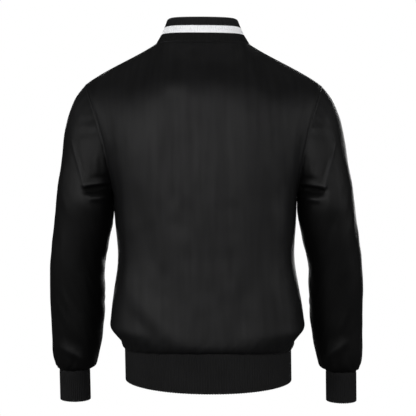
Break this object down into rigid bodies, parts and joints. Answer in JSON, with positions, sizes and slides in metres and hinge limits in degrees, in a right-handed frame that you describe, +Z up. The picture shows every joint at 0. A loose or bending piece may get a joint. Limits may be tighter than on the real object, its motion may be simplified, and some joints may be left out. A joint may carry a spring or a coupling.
{
  "type": "bomber jacket",
  "caption": "Black bomber jacket in its worn form, zipped up, with rib-knit collar, cuffs and waistband and a white stripe round the collar.",
  "frame": {"origin": "middle of the neck opening, level with the inner ends of the shoulder seams", "axes": "+Z up as worn, -Y towards the jacket's front, +X to the wearer's left"},
  "size_m": [0.6209, 0.2777, 0.7581],
  "materials": {
    "satin": "smooth black satin cloth",
    "rib": "black rib knit; a white stripe is knitted into the collar",
    "tape": "woven black zip tape",
    "zip_metal": "black-coated metal"
  },
  "bodies": {
    "jacket": {"back": "satin", "front_left": "satin", "front_right": "satin", "sleeve_left": "satin", "sleeve_right": "satin", "collar": "rib", "waistband": "rib", "cuff_left": "rib", "cuff_right": "rib", "zip_tape_left": "tape", "zip_tape_right": "tape", "zip_chain": "zip_metal", "zip_box": "zip_metal", "zip_stop_left": "zip_metal", "zip_stop_right": "zip_metal", "zip_slider": "zip_metal"},
    "pull_tab": {"zip_pull_tab": "zip_metal"}
  },
  "joints": [
    {"name": "pull_tab_swing", "type": "hinge", "parent": "jacket", "child": "pull_tab", "pos_m": [-0.00151, -0.09114, -0.08893], "axis": [-1, 0, 0], "range_deg": [0, 140]}
  ]
}
